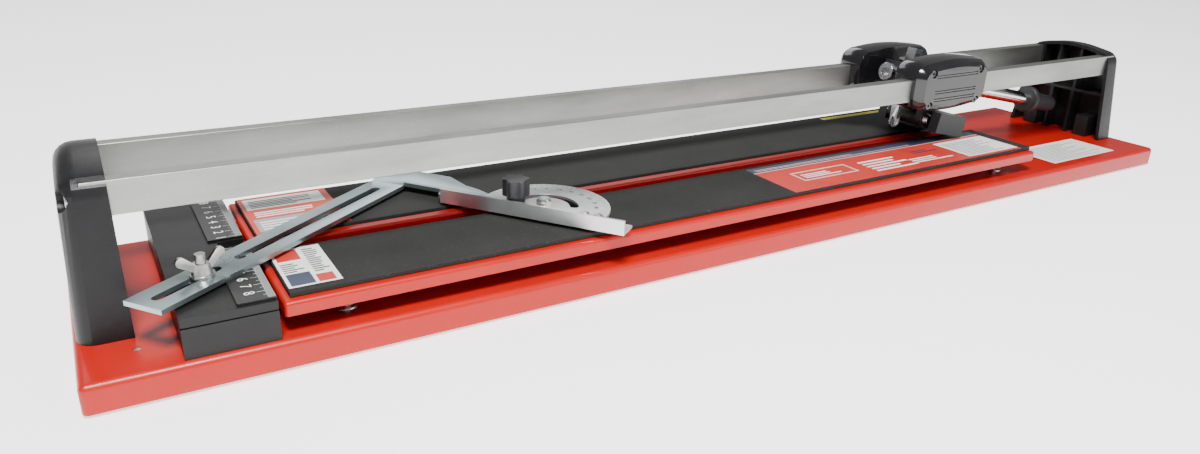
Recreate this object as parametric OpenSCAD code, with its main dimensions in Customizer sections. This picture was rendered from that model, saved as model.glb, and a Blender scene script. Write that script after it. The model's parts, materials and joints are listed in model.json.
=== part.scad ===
// Manual tile cutter with two rectangular rails.
// X runs along the rails, Y across them (front is -Y) and Z is up.
// The origin is under the middle of the base tray, on the plane that the rubber feet stand on.

/* [Base tray] */
// Length of the tray along the rails
base_l = 995; // [940:5:1300]
// Depth of the tray across the rails
base_w = 194; // [190:1:260]
// Height of the tray's turned-down sides
base_h = 17; // [15:0.5:30]
// Thickness of the tray's sheet steel
base_t = 2; // [1.5:0.1:3]
// Outside radius of the tray's bends and corners
base_bend = 4; // [3:0.5:6]
// How far the rubber feet reach below the tray
foot_drop = 2; // [1:0.5:6]
// Diameter of a rubber foot
foot_d = 24; // [16:1:30]

/* [End posts] */
// Thickness of a post at its foot, along the rails
post_t = 28.5; // [26:0.5:40]
// Height of a post above the tray
post_h = 97; // [96:1:130]
// Depth of a post at its foot, across the rails
post_foot_w = 107; // [100:1:130]
// Depth of a post at its shoulders, across the rails
post_top_w = 89; // [87:1:110]
// Wall thickness of a post's shell
post_wall = 3.5; // [2.5:0.1:5]
// How far a post's outer face leans in towards its top
post_lean = 5; // [0:0.5:6]
// Radius of the rounding between a post's outer face and its sides
post_round = 11; // [6:0.5:12]
// Distance from a post's outer face to the end of the tray
post_inset = 2; // [1:0.5:10]

/* [Rails] */
// Thickness of a rail
rail_t = 10; // [8:0.5:14]
// Height of a rail
rail_h = 20; // [16:0.5:22]
// Distance between the middles of the two rails
rail_pitch = 73.5; // [71:0.5:76]
// Height of the rails' undersides above the tray
rail_lift = 69.2; // [68:0.1:74]
// Length of a rail's end inside a post's socket
rail_socket = 13; // [10:0.5:13]
// Depth of the threaded hole in a rail's end
rail_thread = 22; // [16:1:40]

/* [Tables] */
// Length of a table along the rails
table_l = 688.5; // [600:0.5:740]
// Distance from the middle line to a table's outer edge
table_edge = 89.5; // [80:0.5:94]
// Distance from the middle line to the front table's inner edge
front_table_in = 10.5; // [8:0.5:14]
// Distance from the middle line to the back table's inner edge
back_table_in = 6; // [5.5:0.5:14]
// Height of the tables' top faces above the tray
table_lift = 20; // [18:0.5:30]
// Height of a table's turned-down sides
table_flange = 8.7; // [6:0.1:12]
// Thickness of a table's sheet steel
table_t = 2; // [1.5:0.1:2.5]
// Outside radius of a table's bends
table_bend = 2.4; // [2.2:0.1:4]
// How far a table can be pushed down
table_travel = 4; // [2:0.5:6]
// Thickness of the rubber pads
pad_t = 3.5; // [2:0.5:6]
// Bare edge of a table in front of and behind its pad
pad_margin = 5.5; // [3:0.5:10]
// Bare strip between the front table's inner edge and its pad
pad_front_in = 7.5; // [1:0.5:12]
// Bare strip between the back table's inner edge and its pad
pad_back_in = 1; // [0.5:0.5:12]
// Bare strip at a table's left end
pad_left_in = 4.5; // [1:0.5:10]
// Width of the breaking ridge
ridge_w = 9.4; // [8:0.1:9.8]
// How far the breaking ridge stands above the tables' steel
ridge_rise = 2.5; // [1:0.5:3]
// Outside diameter of a table spring
spring_d = 13; // [11:0.5:16]
// Wire diameter of a table spring
spring_wire = 1.6; // [1:0.1:2]
// Number of turns of a table spring
spring_turns = 4.5; // [3:0.5:6]
// Shank diameter of a table's guide bolts
guide_d = 5; // [4:0.5:6]
// Distance from a table's ends to its guide bolts
guide_end = 38; // [25:1:80]

/* [End stop] */
// Distance from the tray's left end to the stop block
block_x = 51; // [45:0.5:60]
// Length of the stop block along the rails
block_l = 50.5; // [46:0.5:60]
// Depth of the stop block across the rails
block_w = 186; // [170:1:190]
// Height of the stop block
block_h = 24.3; // [23:0.1:30]
// Gap between the stop block and the tables
block_gap = 3.5; // [2:0.5:8]
// Width of a ruler plate
ruler_w = 21; // [16:0.5:24]
// Thickness of a ruler plate
ruler_t = 1.7; // [1:0.1:3]
// Distance from the middle line to a ruler plate's near end
ruler_in = 8.5; // [6:0.5:12]
// Distance from the middle line to a ruler plate's far end
ruler_out = 90; // [80:0.5:92]

/* [Angle stop] */
// Direction of the slotted arm, measured from the rails
arm_angle = 37; // [30:0.5:40]
// Width of the slotted arm
arm_w = 27; // [22:0.5:30]
// Thickness of the slotted arm
arm_t = 3; // [2:0.1:4]
// Straight length of the slotted arm up to its offset bend
arm_l = 223.5; // [200:0.5:240]
// Width of the slots
slot_w = 6.6; // [6.4:0.1:8]
// Length of the short slot, end to end
short_slot = 48; // [40:0.5:50]
// Length of the long slot, end to end
long_slot = 143; // [100:1:145]
// Distance from the arm's tip to the short slot
slot_start = 7; // [5:0.5:12]
// Steel left between the two slots
slot_bridge = 13; // [8:0.5:20]
// Distance from the arm's tip to the clamp stud
stud_along = 42; // [35:0.5:44]
// Distance from the stop block's left face to the clamp stud
stud_x = 18.5; // [14:0.5:20]
// Distance from the middle line to the clamp stud
stud_y = 50.5; // [40:0.5:60]
// Thread diameter of the clamp stud, pivot bolt and knob stud
stud_d = 6; // [5:0.5:6.2]
// Rise of the offset bend between the arm and its head
arm_joggle = 2.4; // [2.3:0.1:4]
// Length of the fence
fence_l = 141.5; // [100:0.5:160]
// Height of the fence's upright leg
fence_h = 10.5; // [9:0.5:16]
// Width of the fence's flat leg
fence_foot = 16; // [14:0.5:20]
// Thickness of the fence's legs
fence_t = 2; // [1.5:0.1:2.2]
// Distance from the fence's face to its pivot
pivot_in = 9.2; // [8.8:0.1:10]
// Distance from the arm's middle line to the fence's pivot
pivot_drop = 130.7; // [120:0.1:140]
// Radius of the protractor disc
disc_r = 46.7; // [40:0.1:50]
// Thickness of the protractor disc
disc_t = 2; // [1:0.1:3]
// Radius of the curved slot's middle line
arc_r = 21.5; // [21:0.1:24]
// Angle that the fence can be turned through
fence_turn = 150; // [45:5:150]

/* [Carriage] */
// Distance from the middle of the tray to the middle of the carriage
carriage_x = 212; // [100:1:212]
// Length of a bearing housing
housing_l = 97; // [80:1:110]
// Height of a bearing housing
housing_h = 49; // [47:0.5:60]
// Thickness of a housing with its cover, across the rails
housing_w = 31; // [29:0.5:40]
// Thickness of a housing's outer cover
cover_t = 7.5; // [5:0.5:9]
// Outside diameter of a roller
roller_d = 13; // [10:0.5:14]
// Width of a roller
roller_w = 8; // [6:0.5:9]
// Diameter of the roller pins
roller_pin_d = 5; // [4:0.5:6]
// Distance between the two rollers of a housing
roller_pitch = 56; // [40:1:60]

/* [Lever] */
// How far the lever points down when it rests
lever_tilt = 12; // [8:0.1:12]
// Diameter of the lever's cross axle
axle_d = 12; // [8:0.5:14]
// Diameter of the lever tube
tube_d = 14; // [10:0.5:16]
// Length of the lever from its wheel shaft to the hand guard
tube_l = 199; // [150:1:205]
// Length of the grip behind the guard
grip_l = 45; // [30:1:46]
// Diameter of the grip
grip_d = 20; // [17:0.5:24]
// Diameter of the hand guard
guard_d = 28; // [22:0.5:32]
// Width of the square wheel shaft
shaft_w = 10; // [8:0.5:10]
// Diameter of the cutting wheel
wheel_d = 10; // [8:0.5:12]
// Thickness of the cutting wheel
wheel_t = 2; // [1:0.1:2.4]
// Distance from the lever's line down to the wheel's lowest point
wheel_reach = 50.4; // [46:0.1:50.4]
// Length of the breaking foot across the rails
breaker_w = 72; // [60:1:80]
// Thickness of the breaking foot
breaker_h = 19; // [14:0.5:20]
// Distance from the lever's line down to the foot's underside
breaker_reach = 45.7; // [42:0.1:45.7]

/* [Fits] */
// Radial clearance of a running fit
run_gap = 0.05; // [0.02:0.01:0.1]
// Gap between parts that slide past each other
slide_gap = 0.3; // [0.2:0.05:0.6]
// Gap around a rail in its sockets and in the housings
rail_gap = 0.25; // [0.1:0.05:0.5]

/* [Hidden] */
$fn = 48;
e = 0.01;

// Heights
base_top = foot_drop + base_h;
rail_z = base_top + rail_lift;
rail_top = rail_z + rail_h;
table_top = base_top + table_lift;
pad_top = table_top + pad_t;
ridge_top = table_top + ridge_rise;
block_top = base_top + block_h;
ruler_top = block_top + ruler_t;

// Places along the rails
post_in = base_l/2 - post_inset - post_t;
block_x0 = -base_l/2 + block_x;
block_x1 = block_x0 + block_l;
table_x0 = block_x1 + block_gap;
table_x1 = table_x0 + table_l;
guide_xs = [table_x0 + guide_end, table_x1 - guide_end];

// Rail middles
rail_ys = [-rail_pitch/2, rail_pitch/2];
rail_l = 2*(post_in + rail_socket);

// Screw sizes: M6 socket screws in the rails, 5 mm screws elsewhere
rail_screw_d = 6;
small_screw_d = 5;
screw_wall = 3;
foot_screw_d = 4;

// Angle stop levels, from the pads up
arm_z = ruler_top;
fence_z = arm_z + slide_gap/2;
head_z = arm_z + arm_joggle;
disc_z = head_z + arm_t + 0.1;
knob_z = disc_z + disc_t + 0.2;
nut_z = disc_z + disc_t;

// Carriage and lever
housing_in = rail_pitch/2 - rail_t/2 - 10.75;
housing_out = housing_in + housing_w;
housing_seam = housing_out - cover_t;
housing_z = rail_z + rail_h/2 + 3.25;
housing_r = 14;
seam_inset = 1.3;
layer_t = 0.5;
hub_x = carriage_x - 4;
hub_z = housing_z - 0.6;
axle_u = 18;
hub_half = housing_in - 1;
breaker_u = 21;
breaker_w_line = -36;
cheek_in = 13.5;
cheek_t = 6;

// ---------- shared shapes ----------

// A box whose upper edges and upright corners are rounded and whose underside is flat
module tray_box(l, w, h, r, fn) {
    hull() {
        translate([-l/2 + r, -w/2 + r, h - e]) cube([l - 2*r, w - 2*r, e]);
        for (x = [-l/2 + r, l/2 - r], y = [-w/2 + r, w/2 - r])
            translate([x, y, 0]) {
                translate([0, 0, h - r]) sphere(r, $fn = fn);
                cylinder(r = r, h = e, $fn = fn);
            }
    }
}

// A flat slot from its first end to its last end along X
module slot(length, width, depth) {
    translate([width/2, 0, 0]) cylinder(d = width, h = depth);
    translate([length - width/2, 0, 0]) cylinder(d = width, h = depth);
    translate([width/2, -width/2, 0]) cube([length - width, width, depth]);
}

// A socket-head screw whose head stands on Z = 0 and whose shank points down
module socket_screw(d, length, head_d, head_h) {
    difference() {
        union() {
            cylinder(d = head_d, h = head_h);
            translate([0, 0, -length]) cylinder(d = d, h = length);
        }
        translate([0, 0, head_h*0.45]) cylinder(d = d*0.95, h = head_h, $fn = 6);
    }
}

// A hexagon nut with its bore
module hex_nut(across, height, bore) {
    difference() {
        cylinder(d = across/cos(30), h = height, $fn = 6);
        translate([0, 0, -e]) cylinder(d = bore, h = height + 2*e);
    }
}

// Moves to the arm's own axes: X along the arm from its tip, Z at the arm's underside
module on_arm() {
    translate([block_x0 + stud_x, -stud_y, arm_z]) rotate(arm_angle) translate([-stud_along, 0, 0])
        children();
}

// Moves to the fence's pivot, with X along the fence towards its free end
module on_pivot() {
    on_arm() translate([arm_l - 2.9, -pivot_drop, 0]) rotate(-90) children();
}

// Moves to the lever's own axes: X down the lever, Z square to it, origin at the wheel shaft
module on_lever() {
    translate([hub_x, 0, hub_z]) rotate([0, lever_tilt, 0]) children();
}

// Copies its children to both rails, mirrored across the middle line
module both_sides() {
    children();
    mirror([0, 1, 0]) children();
}

// ---------- frame ----------

foot_places = [for (x = [-base_l/2 + 30, base_l/2 - 30], y = [-base_w/2 + 30, base_w/2 - 30]) [x, y],
               [0, 0]];

post_screw_xs = [-post_in - post_t/2, post_in + post_t/2];
post_screw_y = 30;

module base_tray() {
    color([0.80, 0.13, 0.06])
        difference() {
            translate([0, 0, foot_drop]) tray_box(base_l, base_w, base_h, base_bend, 32);
            translate([0, 0, foot_drop - e])
                tray_box(base_l - 2*base_t, base_w - 2*base_t, base_h - base_t + e, base_bend - base_t, 32);
            for (p = foot_places) translate([p.x, p.y, 0]) cylinder(d = foot_screw_d + 0.2, h = base_top + 1);
            for (x = post_screw_xs, y = [-post_screw_y, post_screw_y])
                translate([x, y, 0]) cylinder(d = small_screw_d + 0.2, h = base_top + 1);
            for (y = [-block_w/4, block_w/4])
                translate([block_x0 + block_l/2, y, 0]) cylinder(d = small_screw_d + 0.2, h = base_top + 1);
            guide_places(front_ys) cylinder(d = guide_d + 2*slide_gap, h = base_top + 1);
            guide_places(back_ys) cylinder(d = guide_d + 2*slide_gap, h = base_top + 1);
        }
}

// Five feet: one near each corner and one under the middle of the breaking ridge
module rubber_feet() {
    color([0.06, 0.06, 0.06])
        for (p = foot_places) translate([p.x, p.y, 0])
            difference() {
                cylinder(d1 = foot_d - 3, d2 = foot_d, h = base_top - base_t);
                translate([0, 0, -e]) cylinder(d = foot_screw_d + 0.2, h = base_top);
                translate([0, 0, -e]) cylinder(d = foot_screw_d*2 + 1, h = 5);
            }
}

module foot_screws() {
    color([0.65, 0.66, 0.68])
        for (p = foot_places) translate([p.x, p.y, 5 - e]) mirror([0, 0, 1])
            socket_screw(foot_screw_d, base_top - 5 - 0.3, foot_screw_d*2, 2.4);
}

// Outline of a post seen along the rails: sloping sides, round shoulders and a domed top
module post_profile(shrink) {
    shoulder_r = 13;
    crown = 4;
    r = shoulder_r - shrink;
    shoulder_z = post_h - crown - shoulder_r;
    flat = post_top_w/2 - shoulder_r;
    polygon([
        [-post_foot_w/2 + shrink, 0],
        for (a = [180:-15:105]) [-flat + r*cos(a), shoulder_z + r*sin(a)],
        for (t = [-1:0.125:1]) [t*flat*0.96, post_h - shrink - crown*t*t],
        for (a = [75:-15:0]) [flat + r*cos(a), shoulder_z + r*sin(a)],
        [post_foot_w/2 - shrink, 0]
    ]);
}

// A post's solid outer form, with its inner face on X = 0 and its outer face towards -X
module post_body() {
    hull() {
        rotate([90, 0, -90]) linear_extrude(e) post_profile(0);
        for (k = [0:5])
            let (a = k*18, inset = post_round*(1 - cos(a)), x = post_t - e - post_round*(1 - sin(a)))
                multmatrix([[1, 0, post_lean/post_h, -x], [0, 1, 0, 0], [0, 0, 1, 0]])
                    rotate([90, 0, -90]) linear_extrude(e) post_profile(inset);
    }
}

// The hollow inside a post, open towards the rails
module post_hollow() {
    hull() {
        translate([e, 0, 0]) rotate([90, 0, -90]) linear_extrude(e) post_profile(post_wall);
        translate([-post_t + post_round, 0, 0]) rotate([90, 0, -90]) linear_extrude(e)
            post_profile(post_wall + 0.5);
        translate([-post_t + post_wall + post_lean, 0, 0]) rotate([90, 0, -90]) linear_extrude(e)
            post_profile(post_wall + post_round*0.7);
    }
}

// A post on the left end of the tray: shell, ribs, rail sockets and screw bosses
module post() {
    socket_depth = rail_socket + rail_gap;
    boss_wall = 3;
    translate([-post_in, 0, base_top])
        difference() {
            union() {
                difference() {
                    post_body();
                    post_hollow();
                }
                intersection() {
                    post_body();
                    union() {
                        for (y = rail_ys)
                            translate([-post_t, y - rail_t/2 - boss_wall, rail_lift - boss_wall])
                                cube([post_t, rail_t + 2*boss_wall, rail_h + 2*boss_wall]);
                        for (y = [-post_screw_y, post_screw_y])
                            translate([-post_t, y - 7, 0]) cube([post_t - 1, 14, 22]);
                        for (y = [-12, 12])
                            translate([-post_t, y - 1.5, 0]) cube([post_t - 2, 3, post_h]);
                        translate([-post_t, -post_foot_w/2, 46]) cube([post_t - 2, post_foot_w, 3]);
                    }
                }
            }
            for (y = rail_ys) {
                translate([-socket_depth, y - rail_t/2 - rail_gap/4, rail_lift - rail_gap/4])
                    cube([socket_depth + 1, rail_t + rail_gap/2, rail_h + rail_gap/2]);
                translate([-post_t - 1, y, rail_lift + rail_h/2]) rotate([0, 90, 0])
                    cylinder(d = rail_screw_d + 0.2, h = post_t);
                translate([-post_t - 1, y, rail_lift + rail_h/2]) rotate([0, 90, 0])
                    cylinder(d = rail_screw_d*2, h = 1 + post_t - rail_socket - screw_wall);
            }
            for (y = [-post_screw_y, post_screw_y])
                translate([-post_t/2, y, -1]) cylinder(d = small_screw_d, h = 19);
        }
}

module left_post() {
    color([0.11, 0.11, 0.12]) post();
}

module right_post() {
    color([0.11, 0.11, 0.12]) rotate(180) post();
}

// Screws up through the tray into the posts
module post_screws() {
    color([0.65, 0.66, 0.68])
        for (x = post_screw_xs, y = [-post_screw_y, post_screw_y])
            translate([x, y, base_top - base_t]) mirror([0, 0, 1])
                socket_screw(small_screw_d - 0.1, base_t + 16, 9, 4);
}

module rail(y) {
    difference() {
        translate([-rail_l/2, y - rail_t/2, rail_z]) cube([rail_l, rail_t, rail_h]);
        for (s = [-1, 1])
            translate([s*rail_l/2, y, rail_z + rail_h/2]) rotate([0, -90*s, 0])
                translate([0, 0, -e]) cylinder(d = rail_screw_d, h = rail_thread + e);
    }
}

module front_rail() {
    color([0.66, 0.67, 0.66]) rail(rail_ys[0]);
}

module back_rail() {
    color([0.66, 0.67, 0.66]) rail(rail_ys[1]);
}

// Two screws through each post into the rails' ends
module rail_screws() {
    seat = post_in + rail_socket + screw_wall;
    color([0.65, 0.66, 0.68])
        for (s = [-1, 1], y = rail_ys)
            translate([s*seat, y, rail_z + rail_h/2]) rotate([0, 90*s, 0])
                socket_screw(rail_screw_d - 0.1, 17, 10, 4.4);
}

// A folded channel standing on the tray, with its crown just above the tables
module breaking_ridge() {
    r = 2.2;
    h = ridge_top - base_top;
    color([0.80, 0.13, 0.06])
        translate([table_x0 + 1, 0, base_top]) rotate([90, 0, 90]) linear_extrude(table_l - 1)
            difference() {
                union() {
                    translate([-ridge_w/2, 0]) square([ridge_w, h - r]);
                    translate([-ridge_w/2 + r, 0]) square([ridge_w - 2*r, h]);
                    for (x = [-1, 1]) translate([x*(ridge_w/2 - r), h - r]) circle(r, $fn = 32);
                }
                translate([-ridge_w/2 + table_t, -1]) square([ridge_w - 2*table_t, h - table_t + 1]);
            }
}

// ---------- end stop ----------

module stop_block() {
    lip = 6;
    groove = 1;
    color([0.12, 0.12, 0.12])
        difference() {
            translate([block_x0, -block_w/2, base_top]) cube([block_l, block_w, block_h]);
            for (y = [-block_w/2 - e, block_w/2 - groove])
                translate([block_x0 - e, y, block_top - lip]) cube([block_l + 2*e, groove + e, groove]);
            translate([block_x0 - e, -block_w/2, block_top - lip]) cube([groove, block_w, groove]);
            translate([block_x1 - 16, -ruler_in + 1, block_top - 4]) cube([16 + e, 2*ruler_in - 2, 4 + e]);
            for (y = [-block_w/4, block_w/4])
                translate([block_x0 + block_l/2, y, base_top - e])
                    cylinder(d = small_screw_d, h = 16);
            translate([block_x0 + stud_x, -stud_y, block_top - 14]) cylinder(d = stud_d, h = 15);
        }
}

module block_screws() {
    color([0.65, 0.66, 0.68])
        for (y = [-block_w/4, block_w/4])
            translate([block_x0 + block_l/2, y, base_top - base_t]) mirror([0, 0, 1])
                socket_screw(small_screw_d - 0.1, base_t + 14, 9, 4);
}

module ruler_plates() {
    color([0.10, 0.10, 0.10])
        for (y = [-ruler_out, ruler_in])
            translate([block_x1 - ruler_w, y, block_top]) cube([ruler_w, ruler_out - ruler_in, ruler_t]);
}

module clamp_stud() {
    color([0.70, 0.70, 0.68])
        translate([block_x0 + stud_x, -stud_y, block_top - 13])
            cylinder(d = stud_d - 0.06, h = 13 + ruler_t + arm_t + 13.5);
}

module spacer_washer() {
    color([0.70, 0.70, 0.68])
        translate([block_x0 + stud_x, -stud_y, block_top])
            difference() {
                cylinder(d = 14, h = ruler_t - 0.1);
                translate([0, 0, -e]) cylinder(d = stud_d + 0.2, h = ruler_t + 1);
            }
}

// ---------- tables ----------

front_in_y = front_table_in;
front_ys = [-table_edge + 14.5, -front_table_in - 14.5];
back_ys = [back_table_in + 18.5, table_edge - 14.5];

// Places its children at a table's four guide bolts
module guide_places(ys) {
    for (x = guide_xs, y = ys) translate([x, y, 0]) children();
}

// A folded steel table that reaches from y_near to y_far
module table(y_near, y_far, ys) {
    w = y_far - y_near;
    difference() {
        translate([(table_x0 + table_x1)/2, (y_near + y_far)/2, table_top - table_flange])
            tray_box(table_l, w, table_flange, table_bend, 24);
        translate([table_x0 + table_t, y_near + table_t, table_top - table_flange - 1])
            cube([table_l - 2*table_t, w - 2*table_t, table_flange - table_t + 1]);
        guide_places(ys) translate([0, 0, table_top - table_t - 1]) cylinder(d = guide_d + 0.1, h = table_t + 2);
    }
}

module pad(y_near, y_far) {
    translate([table_x0 + pad_left_in, y_near, table_top])
        cube([table_l - pad_left_in - 1.5, y_far - y_near, pad_t]);
}

// Bolts that hang from a table, pass through the springs and the tray, and keep the table level
module guide_bolts(ys) {
    reach = table_top - base_top + base_t + 6.5;
    guide_places(ys) translate([0, 0, table_top - table_t - 1.6]) cylinder(d = spring_d + 1, h = 1.6);
    guide_places(ys) translate([0, 0, table_top - reach]) cylinder(d = guide_d, h = reach - e);
}

module guide_nuts(ys) {
    guide_places(ys) translate([0, 0, base_top - base_t - 4.2]) hex_nut(8, 4, guide_d + 0.1);
}

// One coil spring as a swept ring of wire
module coil(d, wire, turns, height) {
    ring = 6;
    steps = round(turns*14);
    r = d/2 - wire/2;
    points = [
        for (i = [0:steps], k = [0:ring - 1])
            let (a = 360*turns*i/steps, b = 360*k/ring, q = r + wire/2*cos(b))
                [q*cos(a), q*sin(a), wire/2 + (height - wire)*i/steps + wire/2*sin(b)]
    ];
    sides = [
        for (i = [0:steps - 1], k = [0:ring - 1])
            let (k2 = (k + 1) % ring)
                [i*ring + k, (i + 1)*ring + k, (i + 1)*ring + k2, i*ring + k2]
    ];
    ends = [[for (k = [0:ring - 1]) k], [for (k = [ring - 1:-1:0]) steps*ring + k]];
    polyhedron(points, concat(sides, ends));
}

module springs(ys) {
    height = table_top - table_t - 1.6 - base_top - 0.1;
    guide_places(ys) translate([0, 0, base_top + 0.05]) coil(spring_d, spring_wire, spring_turns, height);
}

module front_table() {
    color([0.80, 0.13, 0.06]) table(-table_edge, -front_table_in, front_ys);
}

module front_pad() {
    color([0.16, 0.16, 0.16]) pad(-table_edge + pad_margin, -front_table_in - pad_front_in);
}

module front_guide_bolts() {
    color([0.65, 0.66, 0.68]) guide_bolts(front_ys);
}

module front_guide_nuts() {
    color([0.65, 0.66, 0.68]) guide_nuts(front_ys);
}

module front_springs() {
    color([0.72, 0.72, 0.70]) springs(front_ys);
}

module back_table() {
    color([0.80, 0.13, 0.06]) table(back_table_in, table_edge, back_ys);
}

module back_pad() {
    color([0.16, 0.16, 0.16]) pad(back_table_in + pad_back_in, table_edge - pad_margin);
}

module back_guide_bolts() {
    color([0.65, 0.66, 0.68]) guide_bolts(back_ys);
}

module back_guide_nuts() {
    color([0.65, 0.66, 0.68]) guide_nuts(back_ys);
}

module back_springs() {
    color([0.72, 0.72, 0.70]) springs(back_ys);
}

// ---------- angle stop ----------

washer_t = 1.4;

module clamp_washer() {
    color([0.72, 0.72, 0.70])
        translate([block_x0 + stud_x, -stud_y, arm_z + arm_t + 0.05])
            difference() {
                cylinder(d = 14, h = washer_t);
                translate([0, 0, -e]) cylinder(r = stud_d/2 + run_gap, h = washer_t + 1);
            }
}

module wing_nut() {
    color([0.74, 0.73, 0.70])
        translate([block_x0 + stud_x, -stud_y, arm_z + arm_t + washer_t + 0.1]) rotate(20)
            difference() {
                union() {
                    cylinder(d1 = 12, d2 = 9, h = 6.5);
                    for (s = [-1, 1])
                        hull() {
                            translate([s*3.5, -1.4, 1]) cube([0.5, 2.8, 5]);
                            translate([s*11.5, -1, 10]) rotate([-90, 0, 0]) cylinder(r = 3, h = 2, $fn = 32);
                        }
                }
                translate([0, 0, -1]) cylinder(r = stud_d/2 + run_gap, h = 20);
            }
}

// The arm lies on the ruler plates, steps up at its offset bend and turns square towards the pivot
module slotted_arm() {
    corner = 13;
    head_in = arm_l;
    head_out = arm_l + arm_w + 0.5;
    pivot_a = arm_l - 2.9;
    lug_r = pivot_in - fence_t - slide_gap;
    color([0.62, 0.66, 0.68])
        on_arm()
            difference() {
                union() {
                    translate([0, -arm_w/2, 0]) cube([arm_l - 0.5, arm_w, arm_t]);
                    hull() {
                        translate([arm_l - 0.6, -arm_w/2, 0]) cube([0.1, arm_w, arm_t]);
                        translate([arm_l + 6.5, -arm_w/2, arm_joggle]) cube([0.1, arm_w, arm_t]);
                    }
                    translate([0, 0, arm_joggle])
                        linear_extrude(arm_t)
                            polygon([
                                [head_in + 6.5, arm_w/2], [head_out - corner, arm_w/2 - 6],
                                [head_out, -corner/2], [head_out, -38], [head_out - 12, -58],
                                [head_out - 15, -70], [pivot_a + 9, -84],
                                for (a = [0:-20:-180]) [pivot_a + lug_r*cos(a), -pivot_drop + lug_r*sin(a)],
                                [pivot_a - lug_r, -50], [head_in + 0.5, -46], [head_in + 0.5, -arm_w/2],
                                [head_in + 6.5, -arm_w/2]
                            ]);
                }
                translate([slot_start, 0, -1]) slot(short_slot, slot_w, arm_t + 2);
                translate([slot_start + short_slot + slot_bridge, 0, -1]) slot(long_slot, slot_w, arm_t + 2);
                translate([pivot_a, -pivot_drop, -1])
                    cylinder(r = stud_d/2 + run_gap, h = arm_t + arm_joggle + 2);
                translate([pivot_a, -pivot_drop + arc_r, -1])
                    cylinder(d = stud_d, h = arm_t + arm_joggle + 2);
            }
}

// A stud pressed into the arm's head; it passes up through the protractor's curved slot
module knob_stud() {
    color([0.70, 0.70, 0.68])
        on_arm() translate([arm_l - 2.9, -pivot_drop + arc_r, arm_joggle + 0.1])
            cylinder(d = stud_d - 0.06, h = knob_z - head_z + 12);
}

module star_knob() {
    neck_r = 6.6;
    neck_h = 4.6;
    lobe_h = 12.4;
    color([0.09, 0.09, 0.10])
        on_arm() translate([arm_l - 2.9, -pivot_drop + arc_r, knob_z - arm_z])
            difference() {
                union() {
                    cylinder(r = neck_r, h = neck_h + 2);
                    translate([0, 0, neck_h]) linear_extrude(lobe_h)
                        polygon([for (a = [0:5:355]) (8.8 + 0.9*cos(6*a))*[cos(a), sin(a)]]);
                }
                translate([0, 0, -1]) cylinder(r = stud_d/2 + run_gap, h = 14.5);
            }
}

// Aluminium angle: upright leg in front, flat leg underneath, with the pivot hole in the flat leg
module fence() {
    left = 78;
    color([0.78, 0.79, 0.80])
        on_pivot() translate([0, 0, fence_z - arm_z])
            difference() {
                union() {
                    translate([-left, -pivot_in, 0]) cube([fence_l, fence_t, fence_h]);
                    translate([-left, -pivot_in, 0]) cube([fence_l, fence_foot, fence_t]);
                }
                translate([0, 0, -1]) cylinder(d = stud_d, h = fence_t + 2);
                for (x = rivet_xs) translate([x, 0, -1]) cylinder(d = rivet_d, h = fence_t + 2);
            }
}

rivet_d = 4;
rivet_xs = [31, 41];

// Outline of a curved slot with round ends, from angle a0 to angle a1
module arc_slot(r, w, a0, a1) {
    steps = 40;
    polygon([
        for (i = [0:steps]) let (a = a0 + (a1 - a0)*i/steps) (r + w/2)*[cos(a), sin(a)],
        for (t = [20:20:160]) r*[cos(a1), sin(a1)] + w/2*[cos(a1 + t), sin(a1 + t)],
        for (i = [steps:-1:0]) let (a = a0 + (a1 - a0)*i/steps) (r - w/2)*[cos(a), sin(a)],
        for (t = [200:20:340]) r*[cos(a0), sin(a0)] + w/2*[cos(a0 + t), sin(a0 + t)]
    ]);
}

// Half disc with a curved slot for the knob's stud
module protractor() {
    arc_w = 6.4;
    reach = fence_turn + 10;
    color([0.82, 0.83, 0.83])
        on_pivot() translate([0, 0, disc_z - arm_z])
            difference() {
                intersection() {
                    cylinder(r = disc_r, h = disc_t, $fn = 96);
                    translate([-disc_r - 1, -pivot_in + fence_t + 0.1, -1])
                        cube([2*disc_r + 2, 2*disc_r, disc_t + 2]);
                }
                translate([0, 0, -1]) cylinder(d = stud_d, h = disc_t + 2);
                for (x = rivet_xs) translate([x, 0, -1]) cylinder(d = rivet_d, h = disc_t + 2);
                translate([0, 0, -1]) linear_extrude(disc_t + 2) arc_slot(arc_r, arc_w, 187 - reach, 187);
            }
}

// Two rivets with collars that hold the disc above the flat leg
module disc_rivets() {
    color([0.75, 0.76, 0.77])
        on_pivot()
            for (x = rivet_xs) translate([x, 0, fence_z - arm_z]) {
                cylinder(d = rivet_d - 0.1, h = disc_z + disc_t - fence_z + 0.2);
                translate([0, 0, fence_t + 0.05]) cylinder(d = 6.5, h = disc_z - fence_z - fence_t - 0.1);
                translate([0, 0, disc_z + disc_t - fence_z + 0.05]) cylinder(d1 = 7, d2 = 4.5, h = 1.3);
            }
}

module pivot_bolt() {
    color([0.70, 0.70, 0.68])
        on_pivot() {
            translate([0, 0, fence_z - arm_z - 2]) cylinder(d = 11, h = 1.95);
            translate([0, 0, fence_z - arm_z - 1]) cylinder(d = stud_d - 0.06, h = nut_z - fence_z + 7.5);
        }
}

module pivot_nut() {
    color([0.74, 0.74, 0.73])
        on_pivot() translate([0, 0, nut_z - arm_z + 0.05]) {
            hex_nut(10, 4.4, stud_d);
            translate([0, 0, 4.4 - e])
                difference() {
                    cylinder(d1 = 10, d2 = 8.6, h = 1.7);
                    translate([0, 0, -1]) cylinder(d = stud_d, h = 4);
                }
        }
}

// ---------- carriage ----------

screw_dx = 32;
screw_dz = 14.5;
roller_z = rail_top + roller_d/2 + 0.1;
roller_xs = [-roller_pitch/2, roller_pitch/2];

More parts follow.
